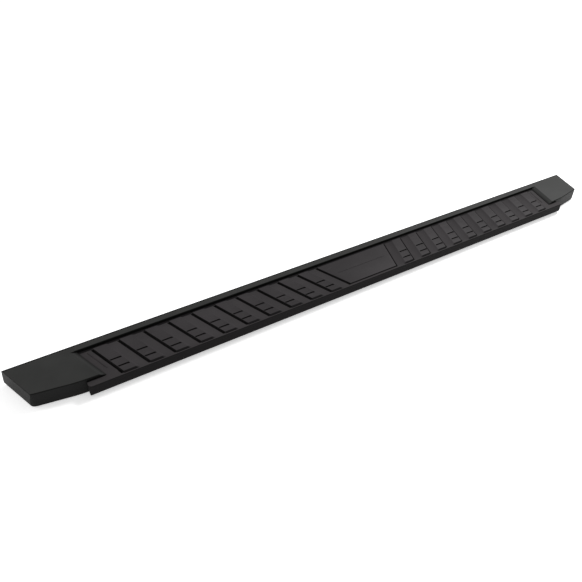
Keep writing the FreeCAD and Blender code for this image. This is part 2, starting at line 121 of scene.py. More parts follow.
class TreadSizes(bpy.types.PropertyGroup):
    cells: IntProperty(
        name="Cells", description="Tread cells on each side of the centre panel", default=10, min=1,
    )
    pitch: FloatProperty(
        name="Pitch", description="Distance from one cell to the next", default=65.6 * MM, unit="LENGTH",
    )
    first: FloatProperty(
        name="First groove", description="Where the left-most groove crosses the middle line",
        default=-769 * MM, unit="LENGTH",
    )
    groove: FloatProperty(
        name="Groove", description="Width of each cross groove", default=5 * MM, unit="LENGTH",
    )
    groove_depth: FloatProperty(
        name="Groove depth", description="Depth of each groove", default=2.3 * MM, unit="LENGTH",
    )
    block: FloatProperty(
        name="Block", description="Width of a block's flat top", default=31.5 * MM, unit="LENGTH",
    )
    flank: FloatProperty(
        name="Flank", description="Run of a block's steep side", default=0.8 * MM, unit="LENGTH",
    )
    slope: FloatProperty(
        name="Slope", description="Run of a block's gentle side", default=6.5 * MM, unit="LENGTH",
    )
    height: FloatProperty(
        name="Height", description="Height of a block over the pad", default=4 * MM, unit="LENGTH",
    )
    band: FloatProperty(
        name="Band", description="Height of the band beside a block", default=1.1 * MM, unit="LENGTH",
    )
    front: FloatProperty(
        name="Front", description="Front end of the grooves", default=-68.6 * MM, unit="LENGTH",
    )
    back: FloatProperty(
        name="Back", description="Back end of the cells", default=43.5 * MM, unit="LENGTH",
    )
    toe: FloatProperty(
        name="Toe", description="Run of a block's front end", default=4 * MM, unit="LENGTH",
    )
    round_off: FloatProperty(
        name="Rounding", description="Rounding of the edges", default=0.6 * MM, unit="LENGTH",
    )


class FixingSizes(bpy.types.PropertyGroup):
    flats: FloatProperty(
        name="Head flats", description="Screw head across its flats", default=7 * MM, unit="LENGTH",
    )
    washer: FloatProperty(
        name="Washer", description="Radius of the head's washer", default=4.5 * MM, unit="LENGTH",
    )
    shank: FloatProperty(
        name="Shank", description="Radius of the screw's shank", default=2.1 * MM, unit="LENGTH",
    )
    nut_flats: FloatProperty(
        name="Nut flats", description="Nut across its flats", default=13 * MM, unit="LENGTH",
    )
    nut_bore: FloatProperty(
        name="Nut bore", description="Radius of the nut's bore", default=3.4 * MM, unit="LENGTH",
    )
    plate_hole: FloatProperty(
        name="Plate hole", description="Radius of a plate's holes", default=4.5 * MM, unit="LENGTH",
    )
    nut_spacing: FloatProperty(
        name="Nut spacing", description="Between a plate's two nuts", default=40 * MM, unit="LENGTH",
    )


class FinishColours(bpy.types.PropertyGroup):
    pad: FloatVectorProperty(
        name="Tread pad", description="Moulded tread plastic", subtype="COLOR",
        default=(0.036, 0.033, 0.0345),
    )
    coat: FloatVectorProperty(
        name="Beam coat", description="Powder coat on the beam", subtype="COLOR",
        default=(0.032, 0.0325, 0.0315),
    )
    cap: FloatVectorProperty(
        name="End caps", description="Moulded cap plastic", subtype="COLOR",
        default=(0.034, 0.0345, 0.0335),
    )
    zinc: FloatVectorProperty(
        name="Zinc", description="Plating on the fixings", subtype="COLOR", default=(0.60, 0.60, 0.57),
    )
    floor: FloatVectorProperty(
        name="Floor", description="Studio floor", subtype="COLOR", default=(0.94, 0.94, 0.94),
    )


class StageSizes(bpy.types.PropertyGroup):
    eye: FloatVectorProperty(
        name="Camera place", description="Where the camera stands", subtype="TRANSLATION", unit="LENGTH",
        default=(-0.8813, -1.0540, 0.9838),
    )
    aim: FloatVectorProperty(
        name="Camera direction", description="Which way the camera looks",
        default=(0.4116, 0.6750, -0.6124),
    )
    lens: FloatProperty(name="Lens", description="Focal length in millimetres", default=34.49)
    key: FloatProperty(
        name="Key light", description="Power of the overhead softbox", default=190, unit="POWER",
    )
    fill: FloatProperty(
        name="Fill light", description="Power of the side softbox", default=16, unit="POWER",
    )
    sky: FloatProperty(name="Surround", description="Brightness of the surround", default=0.47)


# Mesh helpers

def deselect():
    """Leaves edit mode and selects nothing."""
    if bpy.context.object and bpy.context.object.mode != "OBJECT":
        bpy.ops.object.mode_set(mode="OBJECT")
    bpy.ops.object.select_all(action="DESELECT")


def activate(obj):
    """Selects this piece alone and makes it the active one."""
    deselect()
    obj.select_set(True)
    bpy.context.view_layer.objects.active = obj


def start_box(name, low, high):
    """A box between two corners, open in edit mode."""
    deselect()
    low, high = Vector(low), Vector(high)
    bpy.ops.mesh.primitive_cube_add(size=1, location=(low + high) / 2, scale=high - low)
    bpy.ops.object.transform_apply(location=True, rotation=False, scale=True)
    bpy.context.object.name = name
    bpy.ops.object.mode_set(mode="EDIT")
    return bpy.context.object


def start_round(name, radius, low, high, at, sides):
    """An upright cylinder or prism, open in edit mode."""
    deselect()
    bpy.ops.mesh.primitive_cylinder_add(
        vertices=sides, radius=radius, depth=high - low, location=(at[0], at[1], (low + high) / 2)
    )
    bpy.ops.object.transform_apply(location=True, rotation=False, scale=False)
    bpy.context.object.name = name
    bpy.ops.object.mode_set(mode="EDIT")
    return bpy.context.object


def pick(kind, test):
    """Selects the corners, edges or faces that pass the test, and stops if there are none."""
    bpy.ops.mesh.select_mode(type=kind)
    bpy.ops.mesh.select_all(action="DESELECT")
    mesh = bmesh.from_edit_mesh(bpy.context.object.data)
    parts = {"VERT": mesh.verts, "EDGE": mesh.edges, "FACE": mesh.faces}[kind]
    found = [part for part in parts if test(part)]
    if not found:
        raise RuntimeError("nothing to select on " + bpy.context.object.name)
    for part in found:
        part.select_set(True)
    bmesh.update_edit_mesh(bpy.context.object.data)


def middle(part):
    """The middle of an edge or a face."""
    return sum((v.co for v in part.verts), Vector()) / len(part.verts)


def near(a, b):
    return abs(a - b) < TOUCH


def everything(part):
    return True


def move(x=0.0, y=0.0, z=0.0):
    bpy.ops.transform.translate(value=(x, y, z))


def push(x=0.0, y=0.0, z=0.0):
    """Extrudes what is selected."""
    bpy.ops.mesh.extrude_region_move(TRANSFORM_OT_translate={"value": (x, y, z)})


def cut(test, point, normal):
    """Cuts the faces that pass the test along a plane."""
    pick("FACE", test)
    bpy.ops.mesh.bisect(plane_co=point, plane_no=normal)


def bevel(test, width, segments):
    """Rounds the edges that pass the test."""
    pick("EDGE", test)
    bpy.ops.mesh.bevel(offset=width, segments=segments, affect="EDGES", clamp_overlap=True)


def sharp(edge, degrees=25):
    """Whether the two faces at an edge meet at more than this angle."""
    return len(edge.link_faces) == 2 and edge.calc_face_angle() > math.radians(degrees)


def close_up(obj, smooth=30):
    """Merges doubles, turns the faces outwards and smooths the gentle bends."""
    bpy.ops.mesh.select_all(action="SELECT")
    bpy.ops.mesh.remove_doubles(threshold=0.004 * MM)
    bpy.ops.mesh.normals_make_consistent(inside=False)
    bpy.ops.object.mode_set(mode="OBJECT")
    bpy.ops.object.shade_smooth_by_angle(angle=math.radians(smooth))
    return obj


def use_modifier(obj, kind, **settings):
    """Adds a modifier to a piece and applies it."""
    activate(obj)
    modifier = obj.modifiers.new(kind.title(), kind)
    for key, value in settings.items():
        setattr(modifier, key, value)
    bpy.ops.object.modifier_apply(modifier=modifier.name)


def drill(obj, radius, places, low, high):
    """Upright holes through a piece."""
    for x, y in places:
        tool = start_round("drill", radius, low, high, (x, y), 40)
        bpy.ops.object.mode_set(mode="OBJECT")
        use_modifier(obj, "BOOLEAN", operation="DIFFERENCE", solver="EXACT", object=tool)
        bpy.data.objects.remove(tool)


def copy_of(obj, name, offset, flipped=False):
    """A copy with its own mesh, moved, and turned to the other end of the board if flipped."""
    activate(obj)
    bpy.ops.object.duplicate(linked=False)
    twin = bpy.context.object
    twin.name = name
    twin.location = offset
    twin.scale.x = -1 if flipped else 1
    bpy.ops.object.transform_apply(location=True, rotation=False, scale=True)
    if flipped:
        bpy.ops.object.mode_set(mode="EDIT")
        bpy.ops.mesh.select_all(action="SELECT")
        bpy.ops.mesh.normals_make_consistent(inside=False)
        bpy.ops.object.mode_set(mode="OBJECT")
    return twin


def settle(obj, body, slot, finish, *nodes):
    """Puts a finished piece on its body, in its finish, in place of the CAD nodes that it stands for."""
    obj.data.materials.clear()
    obj.data.materials.append(finish)
    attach(obj, body)
    if nodes:
        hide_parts(*nodes)


# Shader helpers

class Value:
    """A number that varies over a surface; sums and products of it add Math nodes."""

    def __init__(self, tree, socket):
        self.tree = tree
        self.socket = socket

    def math(self, operation, *terms):
        node = self.tree.nodes.new("ShaderNodeMath")
        node.operation = operation
        for slot, term in zip(node.inputs, terms):
            if isinstance(term, Value):
                self.tree.links.new(term.socket, slot)
            else:
                slot.default_value = term
        return Value(self.tree, node.outputs[0])

    def __add__(self, other):
        return self.math("ADD", self, other)

    def __sub__(self, other):
        return self.math("SUBTRACT", self, other)

    def __rsub__(self, other):
        return self.math("SUBTRACT", other, self)

    def __mul__(self, other):
        return self.math("MULTIPLY", self, other)

    __radd__ = __add__
    __rmul__ = __mul__

    def between(self, low, high):
        """0 below low, 1 above high, smooth in between."""
        t = self.math("MULTIPLY_ADD", self, 1 / (high - low), -low / (high - low)).clipped()
        return t * t * (3 - 2 * t)

    def clipped(self):
        return self.math("MAXIMUM", self.math("MINIMUM", self, 1.0), 0.0)


class Finish:
    """A material under construction, with one method that makes any node."""

    def __init__(self, name, **constants):
        self.material = bpy.data.materials.new(name)
        self.material.use_nodes = True
        self.tree = self.material.node_tree
        self.shader = self.tree.nodes["Principled BSDF"]
        for socket, value in constants.items():
            self.shader.inputs[socket.replace("_", " ")].default_value = value
        self.place = self.node("ShaderNodeTexCoord", {}, out="Object")

    def node(self, kind, settings, out=0, **sockets):
        """A node of this type, its settings set first, then its sockets filled with values or links."""
        node = self.tree.nodes.new(kind)
        for key, value in settings.items():
            setattr(node, key, value)
        for key, value in sockets.items():
            slot = node.inputs[int(key[1:])] if key[1:].isdigit() else node.inputs[key.replace("_", " ")]
            if isinstance(value, Value):
                self.tree.links.new(value.socket, slot)
            else:
                slot.default_value = value
        return Value(self.tree, node.outputs[out])

    def stretched(self, x, y, z):
        """The place on the piece, scaled along each axis."""
        return self.node("ShaderNodeMapping", {}, Vector=self.place, Scale=(x, y, z))

    def noise(self, scale, detail, roughness=0.55, place=None):
        """Soft noise; the larger the scale, the finer it is."""
        return self.node(
            "ShaderNodeTexNoise", {},
            Vector=place or self.place, Scale=scale, Detail=detail, Roughness=roughness,
        )

    def pebbles(self, scale):
        """Distance to the nearest pebble's middle."""
        return self.node("ShaderNodeTexVoronoi", {"feature": "SMOOTH_F1"}, Vector=self.place, Scale=scale)

    def axis(self, index):
        """The place along X, Y or Z, as 0, 1 or 2."""
        return self.node("ShaderNodeSeparateXYZ", {}, out=index, Vector=self.place)

    def facing_up(self):
        """1 on faces that look up, 0 on those that look sideways or down."""
        normal = self.node("ShaderNodeNewGeometry", {}, out="Normal")
        return self.node("ShaderNodeSeparateXYZ", {}, out=2, Vector=normal).between(0.75, 0.95)

    def painted_back_shade(self):
        """1 along the edge next to the vehicle, where a dark line of shade is painted."""
        return self.axis(1).between(DECK_HIGH.y - 7.5 * MM, DECK_HIGH.y - 4.5 * MM)

    def colours(self, mask, low, high):
        """A colour that goes from low to high with the mask; either may itself be a mix."""
        low = low if isinstance(low, Value) else (*low, 1.0)
        high = high if isinstance(high, Value) else (*high, 1.0)
        return self.node("ShaderNodeMix", {"data_type": "RGBA"}, out=2, _0=mask, _6=low, _7=high)

    def bump(self, height, strength, distance, onto=None):
        sockets = {"Height": height, "Strength": strength, "Distance": distance}
        if onto:
            sockets["Normal"] = onto
        return self.node("ShaderNodeBump", {}, **sockets)

    def use(self, **sockets):
        """Links these values to the shader and gives the finished material."""
        for key, value in sockets.items():
            self.tree.links.new(value.socket, self.shader.inputs[key.replace("_", " ")])
        return self.material


def scaled(colour, factor):
    """A lighter or darker shade of a colour."""
    return tuple(min(1.0, channel * factor) for channel in colour)


def tread_plastic(colour):
    """Dark moulded plastic: pebbled grain, painted shade on the sides, in the grooves and beside the rail's
    wall, dust low down, scuffed block tops.
    """
    f = Finish("tread_plastic", IOR=1.47, Specular_IOR_Level=0.07)
    z = f.axis(2)
    up = f.facing_up()
    # pit masks the groove floors and corner the sheet beside the rail's wall; both get painted shade below
    pit = 1 - z.between(PAD_HIGH.z - 6.2 * MM, PAD_HIGH.z - 4.2 * MM)
    low = 1 - z.between(PAD_HIGH.z - 4.3 * MM, PAD_HIGH.z - 2.6 * MM)
    corner = low * f.axis(1).between(PAD_HIGH.y - 9 * MM, PAD_HIGH.y - 6 * MM)
    high = z.between(PAD_HIGH.z - 1.2 * MM, PAD_HIGH.z - 0.2 * MM) * up
    cloud = f.noise(5.0, 4.0)
    speck = f.noise(420.0, 2.0)
    scuff = f.noise(60.0, 6.0, 0.7, f.stretched(0.25, 1.6, 1.0)).between(0.55, 0.75) * high
    dust = low * up * f.noise(38.0, 5.0).between(0.35, 0.7) * (1 - pit)
    base = f.colours(cloud.between(*CLOUD_SPAN), scaled(colour, 0.86), scaled(colour, 1.12))
    base = f.colours(speck.between(0.55, 0.8) * 0.35, base, scaled(colour, 1.7))
    base = f.colours(scuff * 0.30, base, scaled(colour, 2.0))
    base = f.colours(dust * 0.06, base, (0.11, 0.10, 0.09))
    # painted shade on faces that don't look up
    base = f.colours(up, scaled(colour, SIDE_PAINTED_SHADE), base)
    # painted shade in the grooves and painted shadow of the rail on the sheet beside its wall
    base = f.colours((pit + corner).clipped() * up, base, scaled(colour, 0.14))
    rough = 0.56 + cloud * 0.08 + speck * 0.08 - high * 0.07 + dust * 0.12
    grain = f.pebbles(620.0) * 0.6 + f.noise(1500.0, 2.0) * 0.4
    fine = f.bump(grain, 0.45, 0.00035)
    return f.use(Base_Color=base, Roughness=rough, Normal=f.bump(f.noise(26.0, 2.0), 0.10, 0.0012, fine))


def cap_plastic(colour):
    """Satin moulded plastic: fine even grain, painted shade on its sides, its foot, its top edges and its
    back edge, grime low down, rubbed along its top edges.
    """
    f = Finish("cap_plastic", IOR=1.48, Specular_IOR_Level=0.08)
    z = f.axis(2)
    up = f.facing_up()
    rim = z.between(DECK_HIGH.z - 2.4 * MM, DECK_HIGH.z - 0.4 * MM) * (1 - up * 0.85)
    cloud = f.noise(7.0, 3.0)
    speck = f.noise(700.0, 2.0)
    rub = rim * f.noise(45.0, 5.0, 0.7).between(0.45, 0.7)
    grime = (1 - z.between(2 * MM, 16 * MM)) * f.noise(24.0, 5.0).between(0.35, 0.75)
    base = f.colours(cloud.between(*CLOUD_SPAN), scaled(colour, 0.9), scaled(colour, 1.14))
    # painted shade on the cap below the pad's top: the step down to the pad and the faces under it
    base = f.colours(z.between(PAD_HIGH.z - 3.5 * MM, PAD_HIGH.z + 2.5 * MM), scaled(colour, 0.25), base)
    # painted shade along the edge next to the vehicle
    base = f.colours(f.painted_back_shade() * 0.9, base, scaled(colour, BACK_PAINTED_SHADE))
    # painted shade on faces that don't look up
    base = f.colours(up, scaled(colour, SIDE_PAINTED_SHADE), base)
    # painted shade: a dark line along the top edges, where the edges reflect black
    base = f.colours(rim * 0.8, base, scaled(colour, 0.12))
    base = f.colours(rub * 0.15, base, scaled(colour, 1.4))
    base = f.colours(grime * 0.07, base, (0.10, 0.09, 0.08))
    rough = 0.40 + cloud * 0.09 + speck * 0.07 + grime * 0.12 - rub * 0.05
    fine = f.bump(f.pebbles(950.0) * 0.5 + speck * 0.5, 0.30, 0.00022)
    return f.use(Base_Color=base, Roughness=rough, Normal=f.bump(f.noise(14.0, 2.0), 0.12, 0.002, fine))


def powder_coat(colour):
    """Powder-coated aluminium: orange peel, faint lengthwise die lines, worn at the rail's edges."""
    f = Finish("powder_coat", IOR=1.5, Specular_IOR_Level=0.08)
    z = f.axis(2)
    up = f.facing_up()
    cloud = f.noise(6.0, 4.0)
    peel = f.noise(520.0, 2.0)
    lines = f.noise(300.0, 3.0, 0.6, f.stretched(0.006, 1.0, 1.0))
    rim = z.between(DECK_HIGH.z - 2.2 * MM, DECK_HIGH.z - 0.3 * MM) * (1 - up * 0.9)
    chips = rim * f.noise(210.0, 4.0, 0.7).between(0.66, 0.72)
    dust = up * f.noise(30.0, 5.0).between(0.45, 0.8)
    base = f.colours(cloud.between(*CLOUD_SPAN), scaled(colour, 0.88), scaled(colour, 1.12))
    base = f.colours(lines.between(0.5, 0.75) * 0.3, base, scaled(colour, 1.5))
    base = f.colours(dust * 0.08, base, (0.12, 0.115, 0.105))
    # painted shade along the edge next to the vehicle
    base = f.colours(f.painted_back_shade() * 0.9, base, scaled(colour, BACK_PAINTED_SHADE))
    # painted shade on faces that don't look up
    base = f.colours(up, scaled(colour, SIDE_PAINTED_SHADE), base)
    base = f.colours(chips * 0.35, base, (0.20, 0.20, 0.19))
    rough = 0.44 + cloud * 0.08 + peel * 0.10 + dust * 0.10
    fine = f.bump(peel * 0.7 + lines * 0.3, 0.28, 0.0003)
    return f.use(Base_Color=base, Roughness=rough, Normal=fine, Metallic=chips * 0.8)


def zinc_plate(name, colour, streak):
    """Zinc-plated steel: clouded, spotted with white bloom and a little rust, streaked if rolled."""
    f = Finish(name, Metallic=1.0)
    cloud = f.noise(90.0, 4.0)
    rolled = f.noise(900.0, 3.0, 0.6, f.stretched(streak, 1.0, 1.0))
    bloom = f.noise(260.0, 5.0, 0.7).between(0.60, 0.72)
    rust = f.noise(170.0, 6.0, 0.75).between(0.66, 0.76)
    base = f.colours(cloud.between(*CLOUD_SPAN), scaled(colour, 0.78), scaled(colour, 1.08))
    base = f.colours(bloom * 0.4, base, (0.72, 0.72, 0.70))
    base = f.colours(rust * 0.6, base, (0.22, 0.10, 0.05))
    rough = 0.30 + cloud * 0.12 + rolled * 0.12 + bloom * 0.15 + rust * 0.3
    metal = 1 - (bloom * 0.3 + rust * 0.8).clipped()
    fine = f.bump(rolled * 0.6 + bloom * 0.4, 0.25, 0.00015)
    return f.use(Base_Color=base, Roughness=rough, Metallic=metal, Normal=fine)


def studio_floor(colour):
    """A pale floor with a little glow of its own."""
    f = Finish("studio_floor", Roughness=0.9, Emission_Color=(1, 1, 1, 1), Emission_Strength=0.5)
    mottle = f.noise(2.0, 2.0)
    return f.use(Base_Color=f.colours(mottle, scaled(colour, 0.985), colour))


_made = {}


def finish(name):
    """Each finish, made the first time it is asked for."""
    c = bpy.context.scene.board_colours
    makers = {
        "tread": lambda: tread_plastic(c.pad),
        "cap": lambda: cap_plastic(c.cap),
        "coat": lambda: powder_coat(c.coat),
        "screw": lambda: zinc_plate("zinc_screw", c.zinc, 1.0),
        "plate": lambda: zinc_plate("zinc_plate", scaled(c.zinc, 0.9), 0.04),
        "floor": lambda: studio_floor(c.floor),
    }
    if name not in _made:
        _made[name] = makers[name]()
    return _made[name]


# Tread pad

def slanted(x, y):
    """X of a slanted cross line of the left half at this y."""
    return x - SKEW * y


def groove_x(s, cell):
    """X where the left side of a groove of the left half crosses the middle line."""
    return s.first + cell * s.pitch


def lip_front(z):
    """Y of the lip's outside at this height."""
    if z >= LIP_CENTRE_Z:
        return PAD_LOW.y
    return PAD_LOW.y + LIP_RADIUS - math.sqrt(max(LIP_RADIUS ** 2 - (LIP_CENTRE_Z - z) ** 2, 0))


def sheet_plan(top):
    """The flat sheet and the strip that runs on past it, with slanted and rounded ends."""
    obj = start_box("pad_sheet", (SHEET_END, STRIP_BACK, SHEET_UNDER), (-SHEET_END, PAD_HIGH.y, top))
    for side in (-1, 1):
        for y in (STRIP_BACK, PAD_HIGH.y):
            pick("VERT", lambda v: near(v.co.y, y) and v.co.x * side > 0)
            move(x=side * (SKEW * y))
    pick("FACE", lambda f: near(middle(f).y, STRIP_BACK))
    push(y=PAD_LOW.y - STRIP_BACK)
    for side in (-1, 1):
        pick("FACE", lambda f: middle(f).y < STRIP_BACK and f.normal.x * side > 0.9)
        reach = STRIP_TIP - slanted(SHEET_END, STRIP_BACK)
        push(x=-side * reach)

    def front_corner(e):
        at, upright = middle(e), near(e.verts[0].co.x, e.verts[1].co.x)
        return upright and near(at.y, PAD_LOW.y) and abs(at.x) > -STRIP_TIP - MM

    bevel(front_corner, STRIP_ROUND, 7)
    return obj


def raise_lip():
    """The lip that wraps the deck's front, rounded under, and the walls that close its ends."""
    inner_y, inner_x = DECK_LOW.y, DECK_HIGH.x + LIP_END_GAP

    def underside(f, z):
        return f.normal.z < -0.9 and near(middle(f).z, z)

    def in_lip(place, z):
        return abs(place.x) > inner_x or (z > LIP_FOOT and place.y < inner_y)

    cut(lambda f: underside(f, SHEET_UNDER), (0, inner_y, SHEET_UNDER), (0, 1, 0))
    for side in (-1, 1):
        cut(lambda f: underside(f, SHEET_UNDER), (side * inner_x, 0, SHEET_UNDER), (1, 0, 0))
    last = SHEET_UNDER
    for level in LIP_LEVELS:
        z = level * MM
        pick("FACE", lambda f: underside(f, last) and in_lip(middle(f), z))
        push(z=z - last)
        front = lip_front(z)
        if front > PAD_LOW.y:
            pick("VERT", lambda v: near(v.co.z, z) and v.co.y < front)
            bpy.ops.transform.resize(value=(1, 0, 1), center_override=(0, front, z))
        last = z


def cut_grooves(s, top):
    """The cross grooves and the thin ridge beside each cap."""
    starts = [groove_x(s, number) for number in range(s.cells + 1)]

    def flat(f):
        return f.normal.z > 0.9 and near(middle(f).z, top)

    def field(f):
        return flat(f) and s.front < middle(f).y < s.back

    def across(f):
        return SKEW * middle(f).y - abs(middle(f).x)

    def in_groove(f):
        return field(f) and any(x < across(f) < x + s.groove for x in starts)

    def on_ridge(f):
        return field(f) and RIDGE[0] < across(f) < RIDGE[1]

    for y in (s.front, s.back):
        cut(flat, (0, y, top), (0, 1, 0))
    lines = [x + edge for x in starts for edge in (0, s.groove)]
    for side in (-1, 1):
        for x in (*lines, *RIDGE):
            cut(field, (-side * x, 0, top), (1, -side * SKEW, 0))
    pick("FACE", in_groove)
    push(z=-s.groove_depth)
    for y in RIDGE_ENDS:
        cut(on_ridge, (0, y, top), (0, 1, 0))
    pick("FACE", lambda f: on_ridge(f) and RIDGE_ENDS[0] < middle(f).y < RIDGE_ENDS[1])
    push(z=RIDGE_HEIGHT)


class BOARD_OT_pad_sheet(bpy.types.Operator):
    """Model the pad's sheet with its grooves, front lip and closed ends"""
    bl_idname = "board.pad_sheet"
    bl_label = "Pad sheet"

    def execute(self, context):
        s = context.scene.board_tread
        top = PAD_HIGH.z - s.height
        obj = sheet_plan(top)
        raise_lip()
        cut_grooves(s, top)
        bevel(
            lambda e: sharp(e, 60) and near(middle(e).z, top) and middle(e).y < FRONT_ROUND_BACK,
            FRONT_ROUND, 4,
        )
        close_up(obj)
        use_modifier(obj, "WEIGHTED_NORMAL", keep_sharp=True)
        settle(obj, BOARD, "pad_plastic", finish("tread"), "step_pad")
        return {"FINISHED"}


def shape_cell(s):
    """The first tread cell: a block with a steep side, a gentle side and two notches, and its band."""
    start, end = groove_x(s, 0) + s.groove, groove_x(s, 1)
    base, top = PAD_HIGH.z - s.height, PAD_HIGH.z
    flat = start + s.flank
    slope = flat + s.block
    foot = slope + s.slope
    toe_y = s.front - s.toe
    notch_xs = [flat + x for x in NOTCH_SPAN]
    notch_ys = [y + side * NOTCH_HALF for y in NOTCH_LINES for side in (-1, 1)]

    def in_notch(f):
        x, y, z = middle(f)
        in_y = notch_ys[0] < y < notch_ys[1] or notch_ys[2] < y < notch_ys[3]
        return near(z, top) and notch_xs[0] < x < notch_xs[1] and in_y

    obj = start_box("tread_cell_left_01", (start, toe_y, base - CELL_SINK), (end, s.back, top))
    for x in (flat, *notch_xs, slope, foot):
        cut(everything, (x, 0, 0), (1, 0, 0))
    for y in (s.front, *notch_ys):
        cut(everything, (0, y, 0), (0, 1, 0))
    for x, z in ((start, base), (foot, base + s.band), (end, base)):
        pick("VERT", lambda v: near(v.co.x, x) and near(v.co.z, top))
        move(z=z - top)
    pick("VERT", lambda v: near(v.co.y, toe_y) and v.co.z > base)
    bpy.ops.transform.resize(value=(1, 1, 0), center_override=(0, toe_y, base))
    pick("FACE", in_notch)
    push(z=-NOTCH_DEPTH)
    for y in (toe_y, s.front, s.back, *notch_ys):
        pick("VERT", lambda v: near(v.co.y, y))
        move(x=-SKEW * y)
    bevel(lambda e: sharp(e) and middle(e).z > base + 0.3 * MM, s.round_off, 2)
    return close_up(obj, 40)


class BOARD_OT_tread_cells(bpy.types.Operator):
    """Model one tread cell and copy it along both halves of the pad"""
    bl_idname = "board.tread_cells"
    bl_label = "Tread cells"

    def execute(self, context):
        s = context.scene.board_tread
        first = shape_cell(s)
        cells = [first]
        for number in range(1, s.cells):
            cells.append(copy_of(first, f"tread_cell_left_{number + 1:02d}", (number * s.pitch, 0, 0)))
        for number in range(s.cells):
            name = f"tread_cell_right_{number + 1:02d}"
            cells.append(copy_of(first, name, (-number * s.pitch, 0, 0), flipped=True))
        for cell in cells:
            settle(cell, BOARD, "pad_plastic", finish("tread"))
        return {"FINISHED"}


class BOARD_OT_centre_panel(bpy.types.Operator):
    """Model the plain panel between the two halves of the tread"""
    bl_idname = "board.centre_panel"
    bl_label = "Centre panel"

    def execute(self, context):
        s = context.scene.board_tread
        edge = groove_x(s, s.cells) + s.groove
        top = PAD_HIGH.z - PANEL_DROP

        def on_top(f):
            return f.normal.z > 0.9 and near(middle(f).z, top)

        def on_line(f):
            return on_top(f) and abs(middle(f).y - LINE_Y) < LINE_HALF

        obj = start_box("centre_panel", (edge, s.front, top - PANEL_DEPTH), (-edge, s.back, top))
        for side in (-1, 1):
            for y in (s.front, s.back):
                pick("VERT", lambda v: near(v.co.y, y) and v.co.x * side > 0)
                move(x=side * SKEW * y)
        for y in (LINE_Y - LINE_HALF, LINE_Y + LINE_HALF):
            cut(on_top, (0, y, 0), (0, 1, 0))
        for x in (-LINE_END, LINE_END):
            cut(on_line, (x, 0, 0), (1, 0, 0))
        pick("FACE", lambda f: on_line(f) and abs(middle(f).x) < LINE_END)
        push(z=LINE_HEIGHT)
        bevel(
            lambda e: sharp(e) and near(middle(e).z, top) and abs(middle(e).y - LINE_Y) > 2 * LINE_HALF,
            PANEL_ROUND, 3,
        )
        close_up(obj)
        settle(obj, BOARD, "pad_plastic", finish("tread"))
        return {"FINISHED"}


# Fixings

def solids_of(node):
    """The middle, in plan, and the lowest point of each separate solid of a CAD node."""
    mesh = bmesh.new()
    mesh.from_mesh(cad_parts[node].data)
    bmesh.ops.remove_doubles(mesh, verts=mesh.verts, dist=0.002 * MM)
    left, found = set(mesh.verts), []
    while left:
        island, edge = set(), {left.pop()}
        while edge:
            island |= edge
            edge = {e.other_vert(v) for v in edge for e in v.link_edges} - island
        left -= island
        xs, ys, zs = zip(*(v.co for v in island))
        found.append(((min(xs) + max(xs)) / 2, (min(ys) + max(ys)) / 2, min(zs)))
    mesh.free()
    return sorted(found)


def fixings(shape, nodes):
    """Models a fixing at the first solid of these CAD nodes and copies it to the others.

    Yields each one with its node.
    """
    model = None
    for node in nodes:
        for number, at in enumerate(solids_of(node), 1):
            name = f"{node}_{number}"
            if model is None:
                model, origin = shape(at), Vector(at)
                model.name = name
                yield node, model
            else:
                yield node, copy_of(model, name, Vector(at) - origin)


def shape_screw(s, at):
    """A washer-head screw: flange, hexagon with a shallow recess, ridged shank and point."""
    x, y, low = at
    seat = low + HEAD_HEIGHT
    obj = start_round("screw", s.washer, seat - FLANGE, seat, (x, y), 36)
    bevel(lambda e: sharp(e) and middle(e).z < seat - FLANGE / 2, 0.35 * MM, 3)
    pick("FACE", lambda f: f.normal.z > 0.9)
    bpy.ops.mesh.inset(thickness=s.washer - s.shank * THREAD_ROOT, use_even_offset=False)
    height = seat
    for grow, rise in THREAD_STEPS * THREAD_TURNS:
        push(z=rise)
        height += rise
        bpy.ops.transform.resize(value=(grow, grow, 1), center_override=(x, y, height))
    push(z=SCREW_POINT)
    bpy.ops.transform.resize(value=(0.2, 0.2, 1), center_override=(x, y, height + SCREW_POINT))
    close_up(obj)
    head = start_round("head", s.flats / math.sqrt(3), low, seat - 0.9 * FLANGE, (x, y), 6)
    bevel(lambda e: middle(e).z < low + 0.1 * MM, 0.4 * MM, 2)
    pick("FACE", lambda f: f.normal.z < -0.9)
    bpy.ops.mesh.inset(thickness=0.9 * MM)
    push(z=0.5 * MM)
    close_up(head, 25)
    activate(obj)
    head.select_set(True)
    bpy.ops.object.join()
    return obj


class BOARD_OT_screws(bpy.types.Operator):
    """Model one washer-head screw and copy it to every screw's place"""
    bl_idname = "board.screws"
    bl_label = "Screws"

    def execute(self, context):
        s = context.scene.board_fixings
        for node, screw in fixings(lambda at: shape_screw(s, at), SCREW_NODES):
            settle(screw, BOARD, "screw_steel", finish("screw"), node)
        return {"FINISHED"}


def shape_plate(s, low, high):
    """A sliding plate with rounded corners and a hole under each nut."""
    obj = start_box("nut_plate", low, high)

    def upright(e):
        start, end = (v.co for v in e.verts)
        return near(start.x, end.x) and near(start.y, end.y)

    bevel(upright, 4 * MM, 6)
    bevel(lambda e: sharp(e, 60), 0.35 * MM, 2)
    close_up(obj)
    centre = (low + high) / 2
    places = [(centre.x + side * s.nut_spacing / 2, centre.y) for side in (-1, 1)]
    drill(obj, s.plate_hole, places, low.z - MM, high.z + MM)
    return obj


class BOARD_OT_nut_plates(bpy.types.Operator):
    """Model one sliding nut plate and copy it to each bracket station"""
    bl_idname = "board.nut_plates"
    bl_label = "Nut plates"

    def execute(self, context):
        first_low, first_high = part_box(PLATES[0])
        model = shape_plate(context.scene.board_fixings, first_low, first_high)
        for node in PLATES[1:]:
            plate = copy_of(model, node + "_piece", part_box(node)[0] - first_low)
            settle(plate, node, "plate_steel", finish("plate"), node)
        model.name = PLATES[0] + "_piece"
        settle(model, PLATES[0], "plate_steel", finish("plate"), PLATES[0])
        return {"FINISHED"}


